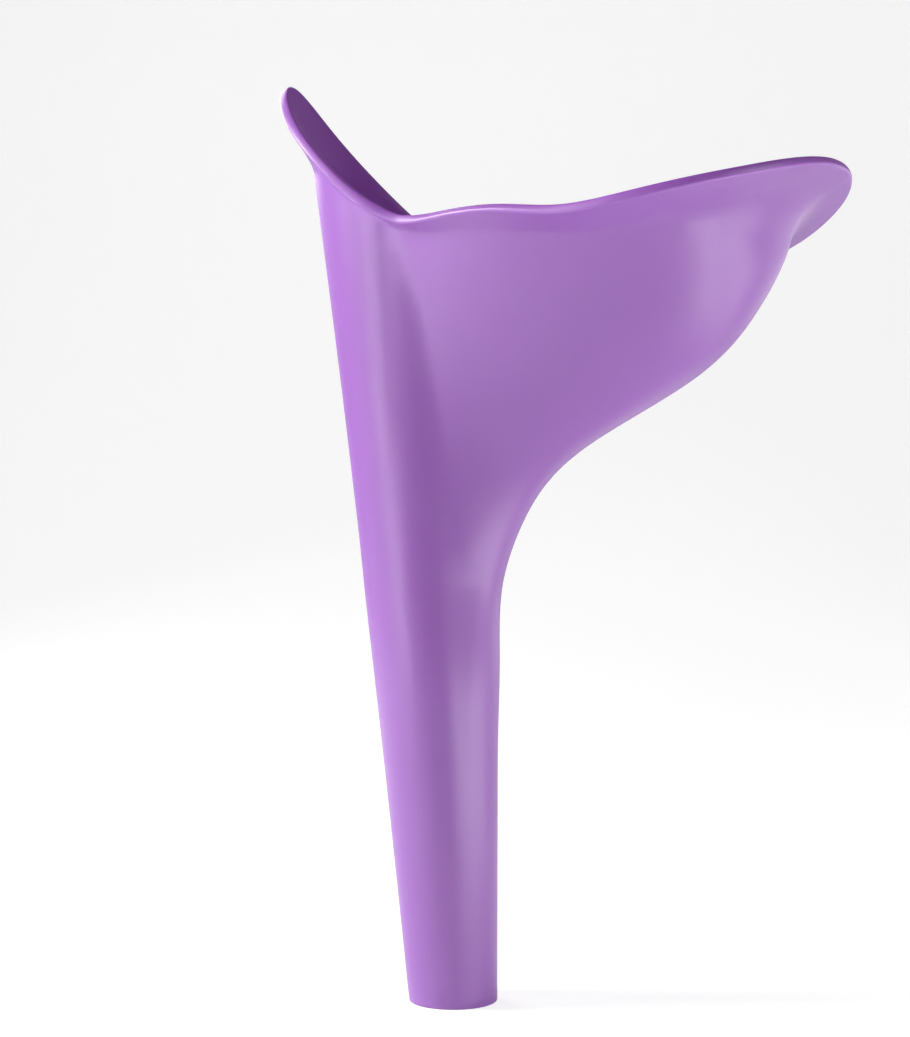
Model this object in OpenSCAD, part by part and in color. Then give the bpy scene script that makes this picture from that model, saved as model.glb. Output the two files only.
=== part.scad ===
// Soft one-piece urination funnel: a tapered spout grows into a rounded front
// column, a bowl bulges from its rear side, and a flange runs round the mouth,
// rising to a high flared lip in front and a broad tongue at the rear.
// Millimetres, +Z up. The origin is the centre of the spout's open end, +X
// points to the rear tongue, and XZ is the plane of symmetry.

/* [Outlet] */
// Outside diameter of the spout at its open end
outlet_d = 19.4; // [18:0.2:22]
// Bore diameter of the spout at its open end
bore_d = 15.4; // [14:0.2:16.4]
// Length of the straight round bore above the open end
bore_len = 12; // [8:1:20]
// Wall thickness of the moulded shell
wall = 2.1; // [1.6:0.1:2.4]

/* [Spout and front column] */
// Lean of the spout's front line from vertical, in degrees
front_lean = 6.2; // [5:0.1:7.5]
// Extra forward bow of the front line at the top station
front_bow = 2.3; // [0:0.1:4]
// Distance from the outlet centre to the spout's straight rear line
rear_line = 9.7; // [9.3:0.1:11]
// Radius of the front column at the foot of the bowl
column_r_low = 13.3; // [12.6:0.1:14.6]
// Radius of the front column half way up the bowl
column_r_mid = 16.6; // [15:0.1:18]
// Radius of the front column at the top station
column_r_top = 22.4; // [19:0.2:24]

/* [Bowl] */
// Reach of the bowl behind the outlet centre where it stands out furthest
bowl_reach = 77; // [70:0.5:88]
// Extra outward turn of the bowl's flanks, in degrees
flank_turn = 0; // [-3:0.5:4]
// Fullness of the bowl's flanks (higher keeps them wide further back)
flank_fullness = 1; // [0.9:0.05:1.15]
// Roundness of the bowl's rear at the mouth (higher is squarer)
rear_square = 1.45; // [1.3:0.05:2.2]
// Angle round the column where the flanks leave it at the mouth, in degrees
valley_angle = 9.7; // [4:0.1:16]
// Rounding of the valley between the column and the flanks
valley_round = 2.3; // [1:0.1:3.5]

/* [Mouth] */
// Height of the lowest point of the crease under the flange
crease_h = 161; // [156:0.2:166]
// Rise of the crease from its lowest point to the front lip
lip_base = 29.2; // [24:0.2:33]
// Forward flare of the front lip beyond the crease
lip_flare = 8.7; // [7:0.1:10]
// Rise of the front lip above the crease
lip_rise = 19.1; // [14:0.1:21]
// Width of the flange along the sides
side_reach = 3.1; // [2.8:0.1:4.5]
// Height of the gentle wave in the rim along the sides
rim_wave = 4.1; // [3:0.1:5]
// Reach of the rear tongue beyond the crease
tongue_reach = 12; // [10:0.2:15]
// Rise of the rear tongue above the crease
tongue_rise = 6.4; // [4:0.2:8]

/* [Resolution] */
// Points around half of the shell
half_points = 40; // [24:4:44]
// Rings between the spout and the crease
bowl_rings = 16; // [10:1:18]

/* [Hidden] */

outlet_r = outlet_d/2;
bore_r = bore_d/2;

// ---- Blends and smooth curves -------------------------------------------
function clamp01(v) = min(max(v, 0), 1);
function mix(from, to, share) = from + (to - from)*share;
function smooth(v) = let (share = clamp01(v)) share*share*(3 - 2*share);

// control value i of a table, with one linear step beyond either end
function control(table, i) =
    let (last = len(table) - 1)
    i < 0 ? 2*table[0] - table[1]
    : i > last ? 2*table[last] - table[last - 1]
    : table[i];

// uniform cubic B-spline over a table of control values, t from 0 to 1
function spline(table, t) =
    let (spans = len(table) - 1,
         i = min(max(floor(t*spans), 0), spans - 1),
         f = t*spans - i)
    (control(table, i - 1)*pow(1 - f, 3)
        + control(table, i)*(3*pow(f, 3) - 6*f*f + 4)
        + control(table, i + 1)*(-3*pow(f, 3) + 3*f*f + 3*f + 1)
        + control(table, i + 2)*pow(f, 3))/6;

// the same curve mirrored at both ends, so that it crosses the symmetry plane level
function level_spline(table, t) =
    let (spans = len(table) - 1)
    spline(concat([table[1]], table, [table[spans - 1]]), (t*spans + 1)/(spans + 2));

// ---- Stations up the height ---------------------------------------------
station = 15;
foot_h = 90;         // foot of the bowl
column_mid_h = 135;  // where the column has its middle radius
top_station = 180;

// share of the bowl's reach gained at each station from z = 0
reach_share = [0, 0, 0, 0, 0, 0.01, 0, 0.08, 0.225, 0.707, 0.88, 1, 0.987, 0.973];
rear_x = [for (share = reach_share) mix(rear_line, bowl_reach, share)];
table_h = station*(len(reach_share) - 1);

// at each station from foot_h to top_station: direction of the flank where it
// leaves the column, in degrees outward from the plane of symmetry
flank_angle = [-18.5, -16, -9, 1, 8.5, 22.5, 43];
// and how long the flank keeps straight before it closes round the rear
flank_power = [1.6, 2.05, 1.85, 4, 3, 2.85, 3.3];

function bowl_share(z) = clamp01((z - foot_h)/(top_station - foot_h));

// front line of the spout and column
function front_x(z) =
    -(outlet_r + tan(front_lean)*z + front_bow*pow(z/top_station, 2));

function column_r(z) =
    z < foot_h ? mix(outlet_r, column_r_low, z/foot_h)
    : z < column_mid_h
        ? mix(column_r_low, column_r_mid, (z - foot_h)/(column_mid_h - foot_h))
    : mix(column_r_mid, column_r_top, (z - column_mid_h)/(top_station - column_mid_h));

// ---- Horizontal section -------------------------------------------------
// values low on the bowl, easing to the Customizer's values at the mouth
valley_angle_low = 27.5;
valley_round_low = 2.9;
rear_square_low = 3.1;
ease_start = 120;
ease_end = 165;
function ease(low, mouth, z) =
    mix(low, mouth, clamp01((z - ease_start)/(ease_end - ease_start)));

// the section is a circle up to round_end and column with flanks from shaped_start
round_end = 60;
shaped_start = 105;
flank_bend = 0.04;  // inward bend of the flank's line ahead of where it leaves
fade_width = 3;     // half width below which the valley's rounding fades out

// half width of the column's circle at x
function column_y(x, z, front) =
    let (radius = column_r(z))
    radius*sqrt(max(0, 1 - pow((x - front - radius)/radius, 2)));

// half width of the flank at x
function flank_y(x, z, front, rear) =
    let (radius = column_r(z),
         leave = ease(valley_angle_low, valley_angle, z),
         leave_x = front + radius*(1 + sin(leave)),
         past = x - leave_x,
         slope = tan(spline(flank_angle, bowl_share(z)) + flank_turn),
         line_y = radius*cos(leave) + slope*past,
         power = spline(flank_power, bowl_share(z))*flank_fullness,
         closing = pow(1 - pow(clamp01(past/(rear - leave_x)), power),
                       1/ease(rear_square_low, rear_square, z)))
    max(0, past >= 0 ? line_y*closing : line_y - flank_bend*past*past);

// the wider of the two, with a rounded valley where they meet
function joined_y(column, flank, round_width) =
    let (near = max(0, round_width - abs(column - flank))/round_width)
    max(column, flank)
        + near*near*round_width/4*smooth(min(column, flank)/fade_width);

// point of the outer wall at height z on the -Y side, t from 0 (front) to 1 (rear)
function wall_pt(z, t) =
    let (front = front_x(z),
         rear = spline(rear_x, z/table_h),
         x = mix(front, rear, (1 - cos(180*t))/2),
         round_y = (rear - front)/2*sin(180*t),
         shaped_y = joined_y(column_y(x, z, front), flank_y(x, z, front, rear),
                             ease(valley_round_low, valley_round, z)),
         blend = smooth((z - round_end)/(shaped_start - round_end)))
    [x, t <= 0 || t >= 1 ? 0 : -mix(round_y, shaped_y, blend), z];

// ---- Mouth: 13 stations from the front to the rear ----------------------
// share of lip_base that the crease stands above its lowest point
crease_share = [1, 0.813, 0.734, 0.438, 0.152, 0.112, 0.053, 0, 0.03, 0.121, 0.171, 0.28, 0.292];
// height of the crease where the wall turns out into the flange
crease_z = [for (share = crease_share) crease_h + lip_base*share];
// how far the flange reaches out from the crease
flange_out = [
    lip_flare, 0.87*lip_flare, 0.65*lip_flare,
    0.93*side_reach, 1.08*side_reach, side_reach, 1.54*side_reach,
    0.59*tongue_reach, 0.845*tongue_reach, 0.99*tongue_reach,
    tongue_reach, tongue_reach, 0.94*tongue_reach];
// how far the flange climbs from the crease
flange_up = [
    lip_rise, 0.766*lip_rise, 0.249*lip_rise,
    -0.05*rim_wave, 0.15*rim_wave, 0.79*rim_wave, rim_wave, 0.44*rim_wave, 0.59*rim_wave,
    0.46*tongue_rise, 0.95*tongue_rise, 0.94*tongue_rise, tongue_rise];
// length of each leg of the fillet under the flange
fillet_leg = [1.3, 1.3, 1.2, 1, 0.9, 0.9, 0.9, 0.9, 1, 2, 5, 7, 8];
fillet_max_share = 0.6;  // longest leg, as a share of the flange's width

// outward plan direction at the crease, on the -Y side
dir_step = 0.004;
function out_dir(t) =
    t <= 0 ? [-1, 0, 0]
    : t >= 1 ? [1, 0, 0]
    : let (z = level_spline(crease_z, t),
           along = wall_pt(z, t + dir_step) - wall_pt(z, t - dir_step))
      [along[1], -along[0], 0]/norm(along);

// ---- Outer face ---------------------------------------------------------
// ring heights below the bowl; the second must be the top of the straight bore
low_z = [0, bore_len, 26, 39, 52, 65, 78, foot_h];
fillet_steps = 3;
flange_steps = 3;

// one meridian on the -Y side, from the open end up to the rim
function meridian(t) =
    let (crease = wall_pt(level_spline(crease_z, t), t),
         reach = out_dir(t)*level_spline(flange_out, t) + [0, 0, level_spline(flange_up, t)],
         leg = min(level_spline(fillet_leg, t), fillet_max_share*norm(reach)),
         wall_top = crease[2] - leg,
         start = wall_pt(wall_top, t),
         end = crease + reach*leg/norm(reach),
         rim = crease + reach)
    concat(
        [for (z = low_z) wall_pt(z, t)],
        [for (i = [1 : bowl_rings - 1]) wall_pt(mix(foot_h, wall_top, i/bowl_rings), t)],
        [for (i = [0 : fillet_steps])
            let (f = i/fillet_steps)
            start*pow(1 - f, 2) + crease*2*f*(1 - f) + end*f*f],
        [for (i = [1 : flange_steps]) mix(end, rim, i/flange_steps)]);

// rings of points all the way round, the -Y side first, then mirrored
half = [for (j = [0 : half_points]) meridian(j/half_points)];
around = 2*half_points;
rings = len(half[0]);
function mirrored(point) = [point[0], -point[1], point[2]];
outer = [for (i = [0 : rings - 1])
    [for (j = [0 : around - 1]) j <= half_points ? half[j][i] : mirrored(half[around - j][i])]];

// ---- Inner face and rim edge --------------------------------------------
bore_lip = 0.05;   // gap between the shell's bore ring and the drilled bore
bore_ease = 30;    // height over which the bore eases into the shaped inner face
edge_bulge = 0.2;  // bulge of the rim's edge, as a share of the wall

// unit normal of the outer face at ring i, point j
function normal(i, j) =
    let (up = outer[min(i + 1, rings - 1)][j] - outer[max(i - 1, 0)][j],
         round = outer[i][(j + 1) % around] - outer[i][(j + around - 1) % around],
         n = cross(round, up))
    n/norm(n);

function bore_pt(j, z) =
    let (angle = 180 + 360*j/around, radius = bore_r + bore_lip)
    [radius*cos(angle), radius*sin(angle), z];

// the outer face set in by the wall, from the top of the straight bore up
inner = [for (i = [1 : rings - 1]) [for (j = [0 : around - 1])
    let (z = outer[i][j][2],
         bore = bore_pt(j, z),
         inset = outer[i][j] - normal(i, j)*wall)
    i == 1 ? bore : mix(bore, inset, smooth((z - bore_len)/bore_ease))]];

edge = [for (j = [0 : around - 1])
    let (rim = outer[rings - 1][j],
         along = rim - outer[rings - 2][j])
    (rim + inner[rings - 2][j])/2 + along/norm(along)*wall*edge_bulge];

// up the outer face, over the edge and down the inner face
skin = concat(outer, [edge], [for (i = [len(inner) - 1 : -1 : 0]) inner[i]]);

// ---- Solids -------------------------------------------------------------
// the shell, still solid across the straight bore
module funnel_shell() {
    last_ring = (len(skin) - 1)*around;
    outlet_centre = len(skin)*around;
    bore_centre = outlet_centre + 1;
    points = concat(
        [for (ring = skin) each ring],
        [[0, 0, 0], [0, 0, bore_len]]);
    faces = concat(
        [for (i = [0 : len(skin) - 2]) for (j = [0 : around - 1])
            let (k = (j + 1) % around, low = i*around, high = low + around)
            each [[low + j, high + k, low + k], [low + j, high + j, high + k]]],
        [for (j = [0 : around - 1]) [outlet_centre, j, (j + 1) % around]],
        [for (j = [0 : around - 1])
            [bore_centre, last_ring + (j + 1) % around, last_ring + j]]);
    polyhedron(points = points, faces = faces, convexity = 10);
}

cut_below = 1;    // overrun of the bore cut below the open end
cut_above = 0.1;  // and above the straight bore

// the one moulded shell, with its true round bore at the open end
module funnel() {
    color("mediumpurple")
    difference() {
        funnel_shell();
        translate([0, 0, -cut_below])
            cylinder(h = bore_len + cut_below + cut_above, r = bore_r, $fn = 96);
    }
}

funnel();
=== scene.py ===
"""A violet silicone funnel with a round outlet, a lopsided bowl and a flared rim.

It stands upright on its outlet: the outlet's end face is at z = 0, centred on the Z axis.
The steep front, with the tall lip, is at -X; the bowl and its tongue reach back to +X.
The halves at -Y and +Y mirror each other. The camera looks from -Y, turned towards +X.
"""

import math

import bmesh
import bpy
import numpy as np
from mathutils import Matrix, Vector


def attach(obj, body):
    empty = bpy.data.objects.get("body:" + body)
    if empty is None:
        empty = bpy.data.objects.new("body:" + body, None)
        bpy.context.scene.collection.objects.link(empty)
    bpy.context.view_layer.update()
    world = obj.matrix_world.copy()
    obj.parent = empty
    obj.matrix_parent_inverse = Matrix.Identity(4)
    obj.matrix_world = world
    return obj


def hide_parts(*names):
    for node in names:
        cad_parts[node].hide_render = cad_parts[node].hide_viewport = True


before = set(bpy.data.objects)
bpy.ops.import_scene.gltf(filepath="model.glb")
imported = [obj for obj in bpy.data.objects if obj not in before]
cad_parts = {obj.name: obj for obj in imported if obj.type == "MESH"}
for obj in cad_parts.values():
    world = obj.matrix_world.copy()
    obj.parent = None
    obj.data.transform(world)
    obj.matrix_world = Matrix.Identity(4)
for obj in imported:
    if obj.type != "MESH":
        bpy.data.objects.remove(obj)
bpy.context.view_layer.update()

# ---------------------------------------------------------------------------
# Funnel dimensions, in millimetres and degrees
# ---------------------------------------------------------------------------
MM = 0.001
OUTLET_R, BORE_R, BORE_LEN, WALL = 9.7, 7.7, 12.0, 2.1
BORE_BLEND = 30             # height over which the round bore turns into the offset wall
BOWL_Z, MID_Z, TOP_Z = 90, 135, 180
REAR_TOP_Z = 195            # height of the last rear station
FRONT_LEAN, FRONT_BOW = 6.2, 2.3
BOWL_REACH = 77.0

# The front column: its radius at each height
COLUMN_Z = (0, BOWL_Z, MID_Z, TOP_Z)
COLUMN_R = (OUTLET_R, 13.3, 16.6, 22.4)

# The plain outline turns into column and flanks over this height
MERGE_Z, MERGE_HEIGHT = 60, 45
# Values that ease from low to high, from EASE_Z over EASE_HEIGHT
EASE_Z, EASE_HEIGHT = 120, 45
VALLEY_ANGLES = (27.5, 9.7)     # where on the column the flank leaves it
VALLEY_ROUNDS = (2.9, 2.3)      # width of the blend between column and flank
REAR_SQUARES = (3.1, 1.45)      # exponent that closes the rear
VALLEY_FADE = 3                 # the blend fades out below this half-width
FLANK_CURL = 0.04               # how fast the flank drops away ahead of the valley, per mm

# Rear line, evenly spaced from z = 0 to REAR_TOP_Z, as shares of the way to BOWL_REACH
REACH_SHARE = (0, 0, 0, 0, 0, 0.01, 0, 0.08, 0.225, 0.707, 0.88, 1, 0.987, 0.973)
REAR_X = [OUTLET_R + (BOWL_REACH - OUTLET_R) * share for share in REACH_SHARE]

# Flanks, evenly spaced from BOWL_Z to TOP_Z: angle to the X axis, and fullness of the closing
FLANK_ANGLE = (-18.5, -16, -9, 1, 8.5, 22.5, 43)
FLANK_POWER = (1.6, 2.05, 1.85, 4, 3, 2.85, 3.3)

# Rim stations, evenly spaced from front (-X) to rear (+X) along half the outline
CREASE_H, LIP_BASE, LIP_FLARE, LIP_RISE = 161.0, 29.2, 8.7, 19.1
SIDE_REACH, RIM_WAVE, TONGUE_REACH, TONGUE_RISE = 3.1, 4.1, 12.0, 6.4
CREASE_SHARE = (1, 0.813, 0.734, 0.438, 0.152, 0.112, 0.053, 0, 0.03, 0.121, 0.171, 0.28, 0.292)
CREASE_Z = [CREASE_H + LIP_BASE * share for share in CREASE_SHARE]
FLANGE_OUT = [
    LIP_FLARE, 0.87 * LIP_FLARE, 0.65 * LIP_FLARE,
    0.93 * SIDE_REACH, 1.08 * SIDE_REACH, SIDE_REACH, 1.54 * SIDE_REACH,
    0.59 * TONGUE_REACH, 0.845 * TONGUE_REACH, 0.99 * TONGUE_REACH,
    TONGUE_REACH, TONGUE_REACH, 0.94 * TONGUE_REACH]
FLANGE_UP = [
    LIP_RISE, 0.766 * LIP_RISE, 0.249 * LIP_RISE,
    -0.05 * RIM_WAVE, 0.15 * RIM_WAVE, 0.79 * RIM_WAVE, RIM_WAVE,
    0.44 * RIM_WAVE, 0.59 * RIM_WAVE, 0.46 * TONGUE_RISE,
    0.95 * TONGUE_RISE, 0.94 * TONGUE_RISE, TONGUE_RISE]
FILLET_LEG = (1.3, 1.3, 1.2, 1, 0.9, 0.9, 0.9, 0.9, 1, 2, 5, 7, 8)
MAX_FILLET_SHARE = 0.6      # longest fillet leg, as a share of the flange

RIM_ROUND, RIM_CROWN = 0.5, 0.12    # corner radius and bulge of the rim's edge
RIM_LEAD = 0.35             # gap from the last even flange row to the rim's corner
FOOT_ROUND = 0.35           # corner radius at the outlet's end face
FOOT_RING_GAP = 0.35        # spacing of the rings on the end face

# Mesh density
HALF_STEPS = 160            # steps along half the outline
LOW_ROWS, BOWL_ROWS, FILLET_ROWS, FLANGE_ROWS = 26, 72, 8, 9
RIM_STEPS, FOOT_STEPS = 5, 4
TANGENT_STEP = 0.004        # outline step used to find its direction


# ---------------------------------------------------------------------------
# Curves
# ---------------------------------------------------------------------------
def bspline(values, t, mirrored=False):
    """Uniform cubic B-spline over control values, t from 0 to 1."""
    values = np.asarray(values, float)
    count = len(values) - 1
    if mirrored:
        before, after = values[1], values[-2]
    else:
        before, after = 2 * values[0] - values[1], 2 * values[-1] - values[-2]
    c = np.concatenate([[before], values, [after]])
    s = t * count
    i = np.clip(np.floor(s).astype(int), 0, count - 1)
    f = s - i
    return (c[i] * (1 - f) ** 3 + c[i + 1] * (3 * f ** 3 - 6 * f ** 2 + 4)
            + c[i + 2] * (-3 * f ** 3 + 3 * f ** 2 + 3 * f + 1) + c[i + 3] * f ** 3) / 6


def smooth(t):
    t = np.clip(t, 0, 1)
    return t * t * (3 - 2 * t)


def ease(low_high, z):
    low, high = low_high
    return low + (high - low) * np.clip((z - EASE_Z) / EASE_HEIGHT, 0, 1)


def unit(vectors):
    return vectors / np.linalg.norm(vectors, axis=-1, keepdims=True)


def front_x(z):
    return -(OUTLET_R + math.tan(math.radians(FRONT_LEAN)) * z + FRONT_BOW * (z / TOP_Z) ** 2)


def column_radius(z):
    low, mid, top = [
        COLUMN_R[i] + (COLUMN_R[i + 1] - COLUMN_R[i]) * (z - COLUMN_Z[i])
        / (COLUMN_Z[i + 1] - COLUMN_Z[i]) for i in range(3)]
    return np.where(z < BOWL_Z, low, np.where(z < MID_Z, mid, top))


def section(z, t):
    """Half outline at height z, front to rear, as x and half-width."""
    front = front_x(z)
    rear = bspline(REAR_X, z / REAR_TOP_Z)
    x = front + (rear - front) * (1 - np.cos(math.pi * t)) / 2

    # round column at the front
    radius = column_radius(z)
    column = radius * np.sqrt(np.clip(1 - ((x - front - radius) / radius) ** 2, 0, None))

    # flank leaving the column and closing at the rear
    leave = np.radians(ease(VALLEY_ANGLES, z))
    valley_x = front + radius * (1 + np.sin(leave))
    valley_y = radius * np.cos(leave)
    along = x - valley_x
    level = np.clip((z - BOWL_Z) / (TOP_Z - BOWL_Z), 0, 1)
    straight = valley_y + np.tan(np.radians(bspline(FLANK_ANGLE, level))) * along
    power = bspline(FLANK_POWER, level)
    close = (1 - np.clip(along / (rear - valley_x), 0, 1) ** power) ** (1 / ease(REAR_SQUARES, z))
    flank = np.where(along >= 0, straight * close, straight - FLANK_CURL * along * along)
    flank = np.clip(flank, 0, None)

    # rounded valley between the two
    width = ease(VALLEY_ROUNDS, z)
    overlap = np.clip(width - np.abs(column - flank), 0, None) / width
    fade = smooth(np.minimum(column, flank) / VALLEY_FADE)
    joined = np.maximum(column, flank) + overlap * overlap * width / 4 * fade

    plain = (rear - front) / 2 * np.sin(math.pi * t)
    merge = smooth((z - MERGE_Z) / MERGE_HEIGHT)
    y = (1 - merge) * plain + merge * joined
    return x, np.where((t <= 0) | (t >= 1), 0, y)


# ---------------------------------------------------------------------------
# Funnel skin
# ---------------------------------------------------------------------------
def outline(z, t):
    """Points of the -Y half outline."""
    x, y = section(z, t)
    return np.stack([x, -y, z], -1)


def outer_half():
    """Rows of points from the outlet up to the rim, on the -Y half of the outer face."""
    t = np.linspace(0, 1, HALF_STEPS + 1)
    crease_z = bspline(CREASE_Z, t, True)
    crease = outline(crease_z, t)

    # the flange runs out square to the crease's outline, and up
    x_before, y_before = section(crease_z, np.clip(t - TANGENT_STEP, 0, 1))
    x_after, y_after = section(crease_z, np.clip(t + TANGENT_STEP, 0, 1))
    outward = unit(np.stack([y_before - y_after, x_before - x_after], -1))
    outward[0], outward[-1] = (-1, 0), (1, 0)
    reach = np.column_stack([outward * bspline(FLANGE_OUT, t, True)[:, None],
                             bspline(FLANGE_UP, t, True)])
    span = np.linalg.norm(reach, axis=-1)
    rim = crease + reach

    leg = np.minimum(bspline(FILLET_LEG, t, True), MAX_FILLET_SHARE * span)
    fillet_z = crease_z - leg
    fillet_start = outline(fillet_z, t)
    fillet_end = crease + reach * (leg / span)[:, None]

    rows = [outline(np.full_like(t, z), t) for z in np.linspace(0, BOWL_Z, LOW_ROWS + 1)]
    for i in range(1, BOWL_ROWS):
        rows.append(outline(BOWL_Z + (fillet_z - BOWL_Z) * i / BOWL_ROWS, t))
    for i in range(FILLET_ROWS + 1):
        u = i / FILLET_ROWS
        rows.append(fillet_start * (1 - u) ** 2 + crease * 2 * u * (1 - u) + fillet_end * u * u)
    out = reach / span[:, None]
    stop = rim - out * (RIM_ROUND + RIM_LEAD)
    for i in range(1, FLANGE_ROWS + 1):
        rows.append(fillet_end + (stop - fillet_end) * i / FLANGE_ROWS)
    rows.append(rim - out * RIM_ROUND)
    return np.array(rows)


def full_ring(half):
    mirrored = half[:, -2:0:-1].copy()
    mirrored[..., 1] *= -1
    return np.concatenate([half, mirrored], 1)


def grid_normals(grid):
    up = np.empty_like(grid)
    up[1:-1] = grid[2:] - grid[:-2]
    up[0] = grid[1] - grid[0]
    up[-1] = grid[-1] - grid[-2]
    sideways = np.roll(grid, -1, 1) - np.roll(grid, 1, 1)
    return unit(np.cross(sideways, up))


def circle(radius, z):
    """Circle points about the Z axis, in step with the outline; z may be a whole grid."""
    around = 2 * HALF_STEPS
    angle = math.pi - 2 * math.pi * np.arange(around) / around
    points = np.broadcast_arrays(radius * np.cos(angle), -radius * np.sin(angle), z)
    return np.stack(points, -1)


def rim_profile():
    """Rim edge from outer to inner face: (outward, across the wall, edge wear)."""
    profile = []
    for i in range(1, RIM_STEPS + 1):
        turn = math.radians(-90 + 90 * i / RIM_STEPS)
        profile.append((RIM_ROUND * math.cos(turn), RIM_ROUND + RIM_ROUND * math.sin(turn), 1.0))
    for i in range(1, RIM_STEPS):
        profile.append((RIM_ROUND, RIM_ROUND + (WALL - 2 * RIM_ROUND) * i / RIM_STEPS, 0.5))
    for i in range(RIM_STEPS):
        turn = math.radians(90 * i / RIM_STEPS)
        across = WALL - RIM_ROUND + RIM_ROUND * math.sin(turn)
        profile.append((RIM_ROUND * math.cos(turn), across, 1.0))
    return profile


def build_shell():
    """The closed skin as rows of points, with each row's edge wear and insideness."""
    outer = full_ring(outer_half())
    z = outer[..., 2]
    blend = smooth((z - BORE_LEN) / BORE_BLEND)[..., None]
    inner = circle(BORE_R, z) * (1 - blend) + (outer - grid_normals(outer) * WALL) * blend

    out = unit(outer[-1] - outer[-2])
    across = unit(inner[-1] - outer[-1])
    profile = rim_profile()

    # corner of the end face: (radial run, height), from the face up to the wall
    turns = [math.radians(90 * i / FOOT_STEPS) for i in range(FOOT_STEPS + 1)]
    corner = [(FOOT_ROUND * math.sin(turn), FOOT_ROUND - FOOT_ROUND * math.cos(turn))
              for turn in turns]
    face_r = (OUTLET_R + BORE_R) / 2

    # (points, edge wear, insideness): end face, outer face, rim, inner face, bore's end
    skin = [(circle(radius, 0.0), 0.25, 0.0) for radius in (face_r, face_r + FOOT_RING_GAP)]
    skin += [(circle(OUTLET_R - FOOT_ROUND + run, rise), 1.0, 0.0) for run, rise in corner]
    skin += [(row, 0.0, 0.0) for row in outer[1:]]
    for i, (u, v, wear) in enumerate(profile):
        crown = RIM_CROWN * (1 - (2 * v / WALL - 1) ** 2)
        edge = outer[-1] + out * (u + crown) + across * v
        skin.append((edge, wear, i / (len(profile) - 1)))
    skin += [(row, 0.0, 1.0) for row in inner[:0:-1]]
    skin += [(circle(BORE_R + FOOT_ROUND - run, rise), 1.0, 1.0) for run, rise in corner[::-1]]
    skin.append((circle(face_r - FOOT_RING_GAP, 0.0), 0.25, 0.0))
    return [np.array(column) for column in zip(*skin)]


def grid_object(name, points, closed=False):
    """A quad mesh over a grid of points; closed joins it up both ways."""
    rows, columns = points.shape[:2]
    gap = 0 if closed else 1
    faces = []
    for i in range(rows - gap):
        for j in range(columns - gap):
            this_row, next_row = i * columns, (i + 1) % rows * columns
            k = (j + 1) % columns
            faces.append((this_row + j, this_row + k, next_row + k, next_row + j))
    mesh = bpy.data.meshes.new(name)
    mesh.from_pydata(points.reshape(-1, 3).tolist(), [], faces)
    mesh.update()
    ob = bpy.data.objects.new(name, mesh)
    bpy.context.scene.collection.objects.link(ob)
    return ob


def make_funnel():
    rows, wear, inside = build_shell()
    ob = grid_object("funnel_skin", rows * MM, closed=True)
    mesh = ob.data
    for name, values in (("edge_wear", wear), ("inside", inside)):
        attribute = mesh.attributes.new(name, "FLOAT", "POINT")
        per_point = np.repeat(values, rows.shape[1]).astype(np.float32)
        attribute.data.foreach_set("value", per_point)
    # turn all faces outward
    bm = bmesh.new()
    bm.from_mesh(mesh)
    bmesh.ops.recalc_face_normals(bm, faces=bm.faces)
    if bm.calc_volume(signed=True) < 0:
        bmesh.ops.reverse_faces(bm, faces=bm.faces)
    bm.to_mesh(mesh)
    bm.free()
    mesh.shade_smooth()
    return ob


# ---------------------------------------------------------------------------
# Silicone
# ---------------------------------------------------------------------------
def set_inputs(tree, node, inputs):
    """Set each input to a value, or link it if given a socket."""
    for key, value in inputs.items():
        if isinstance(value, bpy.types.NodeSocket):
            tree.links.new(value, node.inputs[key])
        else:
            node.inputs[key].default_value = value


def add_node(tree, kind, inputs=None, **settings):
    node = tree.nodes.new("ShaderNode" + kind)
    for key, value in settings.items():
        setattr(node, key, value)
    set_inputs(tree, node, inputs or {})
    return node


def mix_colour(tree, factor, first, second):
    # 0, 6 and 7 are the factor and colour inputs, 2 the colour output
    node = add_node(tree, "Mix", {0: factor, 6: first, 7: second}, data_type="RGBA")
    return node.outputs[2]


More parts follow.
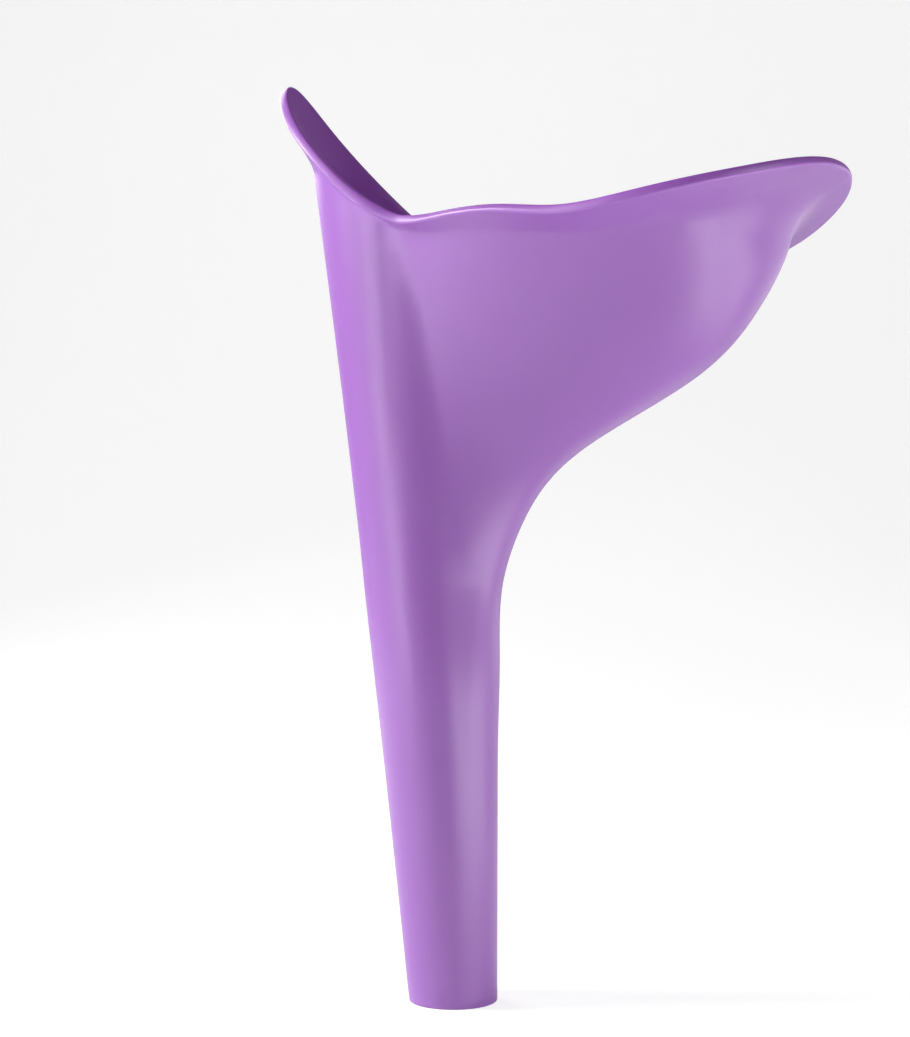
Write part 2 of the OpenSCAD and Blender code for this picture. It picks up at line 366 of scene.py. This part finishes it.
def silicone():
    material = bpy.data.materials.new("satin_silicone")
    material.use_nodes = True
    tree = material.node_tree
    position = add_node(tree, "NewGeometry").outputs["Position"]

    def noise(scale, detail):
        inputs = {"Scale": scale, "Detail": detail, "Vector": position}
        return add_node(tree, "TexNoise", inputs).outputs["Fac"]

    def attribute(name):
        return add_node(tree, "Attribute", attribute_name=name).outputs["Fac"]

    def math_node(operation, *values):
        node = add_node(tree, "Math", dict(enumerate(values)), operation=operation)
        return node.outputs[0]

    def bump(inputs):
        return add_node(tree, "Bump", inputs).outputs["Normal"]

    grit = noise(scale=900, detail=4)
    inside = attribute("inside")

    # slow, faint clouding of the pigment
    colour = mix_colour(tree, noise(scale=28, detail=3),
                        (0.325, 0.126, 0.480, 1), (0.354, 0.142, 0.516, 1))
    # edges rub paler, by up to 0.22
    gritty_wear = math_node("MULTIPLY", attribute("edge_wear"), grit)
    rubbed = math_node("MULTIPLY", gritty_wear, 0.22)
    colour = mix_colour(tree, rubbed, colour, (0.50, 0.26, 0.68, 1))
    # painted shade: the inside is painted a deeper, darker purple that stands in for the shade in
    # the hollow, and it is more matt
    colour = mix_colour(tree, inside, colour, (0.315, 0.086, 0.470, 1))
    specular = add_node(tree, "MapRange", {"Value": inside, "To Min": 0.5, "To Max": 0.12})

    # satin roughness, uneven with the grit, and 0.16 rougher inside
    satin = add_node(tree, "MapRange", {
        "Value": grit, "From Min": 0.3, "From Max": 0.7, "To Min": 0.32, "To Max": 0.38})
    roughness = math_node("MULTIPLY_ADD", inside, 0.16, satin.outputs["Result"])

    # fine matt grain and a very soft waviness of the wall
    grain = bump({"Height": noise(scale=2600, detail=2), "Strength": 0.25, "Distance": 0.00003})
    wavy = bump({"Height": noise(scale=75, detail=2), "Strength": 0.35, "Distance": 0.00025,
                 "Normal": grain})

    set_inputs(tree, tree.nodes["Principled BSDF"], {
        "Base Color": colour,
        "Specular IOR Level": specular.outputs["Result"],
        "Roughness": roughness,
        "IOR": 1.68,
        "Subsurface Weight": 0.35,
        "Subsurface Radius": (1.0, 0.45, 1.3),
        "Subsurface Scale": 0.0016,
        "Sheen Weight": 0.06,
        "Sheen Roughness": 0.45,
        "Normal": wavy,
    })
    return material


skin = make_funnel()
skin.data.materials.append(silicone())
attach(skin, "root")
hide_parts("funnel")

# ---------------------------------------------------------------------------
# Stage: a pale floor curving up into a backdrop, square to the camera. Metres from here on.
# ---------------------------------------------------------------------------
CAMERA_YAW = 20.0               # degrees from -Y towards +X
SWEEP_START, SWEEP_R, SWEEP_STEPS = 0.7, 0.6, 16
FLOOR_Y = (-3.0, -1.0, 0.0, 0.35, SWEEP_START)
BACKDROP_Z = (1.5, 3.5)
STAGE_X = (-4.0, -0.5, 0.5, 4.0)


def stage_material():
    """Matt white paper. The camera sees it a little brighter than it lights the object."""
    material = bpy.data.materials.new("studio_white")
    material.use_nodes = True
    tree = material.node_tree
    tree.nodes.clear()
    paper = add_node(tree, "BsdfDiffuse", {"Color": (0.84, 0.84, 0.84, 1)})
    seen = add_node(tree, "BsdfDiffuse", {"Color": (0.34, 0.34, 0.34, 1)})
    glow = add_node(tree, "Emission", {"Color": (1.0, 1.0, 1.0, 1), "Strength": 0.78})
    bright = add_node(tree, "AddShader", {0: seen.outputs[0], 1: glow.outputs[0]})
    path = add_node(tree, "LightPath")
    mix = add_node(tree, "MixShader", {
        0: path.outputs["Is Camera Ray"], 1: paper.outputs[0], 2: bright.outputs[0]})
    add_node(tree, "OutputMaterial", {"Surface": mix.outputs[0]})
    return material


def make_stage():
    line = [(y, 0.0) for y in FLOOR_Y]
    for i in range(1, SWEEP_STEPS + 1):
        turn = math.radians(90 * i / SWEEP_STEPS)
        line.append((SWEEP_START + SWEEP_R * math.sin(turn), SWEEP_R - SWEEP_R * math.cos(turn)))
    line += [(SWEEP_START + SWEEP_R, z) for z in BACKDROP_Z]
    yaw = math.radians(CAMERA_YAW)
    cos, sin = math.cos(yaw), math.sin(yaw)
    points = [[(x * cos - y * sin, x * sin + y * cos, z) for x in STAGE_X] for y, z in line]
    ob = grid_object("studio_floor", np.array(points))
    ob.data.shade_smooth()
    ob.data.materials.append(stage_material())


make_stage()

# ---------------------------------------------------------------------------
# Light. Azimuths are in degrees from the camera's side, to its right.
# ---------------------------------------------------------------------------
SOFTBOX_AIM, SOFTBOX_DIST = Vector((0.02, 0, 0.11)), 0.9
# name, azimuth, elevation, width, height, watts
SOFTBOXES = [
    ("key_left", -90, 30, 0.30, 0.45, 9.8),
    ("back_left", -150, 30, 0.30, 0.45, 3.4),
    ("front_left", -58, 6, 0.35, 0.45, 1.75),
    ("fill_right", 55, 30, 0.30, 0.40, 2.1),
    ("back_right", 125, 4, 0.90, 0.50, 1.5),
]
# Small panels near the floor, set out around a centre and tipped up at the bowl
PANEL_CENTRE, PANEL_AIM = Vector((0.04, 0, 0.012)), Vector((0.045, -0.02, 0.15))
PANEL_SIZE = 0.10
# name, azimuth, distance, watts
PANELS = [
    ("bounce_a", 30, 0.28, 0.150),
    ("bounce_b", 70, 0.28, 0.115),
    ("bounce_c", 90, 0.28, 0.070),
    ("bounce_d", 50, 0.16, 0.094),
    ("bounce_e", 90, 0.16, 0.035),
]


def direction(azimuth, elevation):
    turn, lift = math.radians(azimuth + CAMERA_YAW), math.radians(elevation)
    return Vector((math.sin(turn) * math.cos(lift), -math.cos(turn) * math.cos(lift),
                   math.sin(lift)))


def place(name, data, location, facing):
    """Add a light or camera that looks along facing."""
    ob = bpy.data.objects.new(name, data)
    ob.location = location
    ob.rotation_euler = facing.to_track_quat("-Z", "Y").to_euler()
    bpy.context.scene.collection.objects.link(ob)
    return ob


def area_light(name, location, facing, width, height, power):
    light = bpy.data.lights.new(name, "AREA")
    light.shape = "RECTANGLE"
    light.size, light.size_y, light.energy = width, height, power
    place(name, light, location, facing).visible_camera = False


def make_world():
    """Pale grey that only the camera sees."""
    world = bpy.data.worlds.new("studio")
    bpy.context.scene.world = world
    world.use_nodes = True
    tree = world.node_tree
    path = add_node(tree, "LightPath")
    set_inputs(tree, tree.nodes["Background"], {
        "Color": (0.92, 0.92, 0.92, 1), "Strength": path.outputs["Is Camera Ray"]})


make_world()
for name, azimuth, elevation, width, height, power in SOFTBOXES:
    toward = direction(azimuth, elevation)
    area_light(name, SOFTBOX_AIM + toward * SOFTBOX_DIST, -toward, width, height, power)
for name, azimuth, distance, power in PANELS:
    location = PANEL_CENTRE + direction(azimuth, 0) * distance
    facing = (PANEL_AIM - location).normalized()
    area_light(name, location, facing, PANEL_SIZE, PANEL_SIZE, power)

# ---------------------------------------------------------------------------
# Camera, a little below its target and looking up
# ---------------------------------------------------------------------------
CAMERA_ELEVATION, CAMERA_DIST = -2.5, 0.3783
CAMERA_TARGET = Vector((0.0004, 0.0, 0.10585))

camera = bpy.data.cameras.new("camera")
camera.sensor_fit = "AUTO"
camera.sensor_width = 36.0
camera.lens = 59.016393
camera.clip_start = 0.01
toward = direction(0, CAMERA_ELEVATION)
scene = bpy.context.scene
scene.camera = place("camera", camera, CAMERA_TARGET + toward * CAMERA_DIST, -toward)
scene.view_settings.view_transform = "Standard"
scene.view_settings.look = "None"
scene.view_settings.exposure = 0.0


def plain(box):
    return [[float(x) for x in point] for point in box]
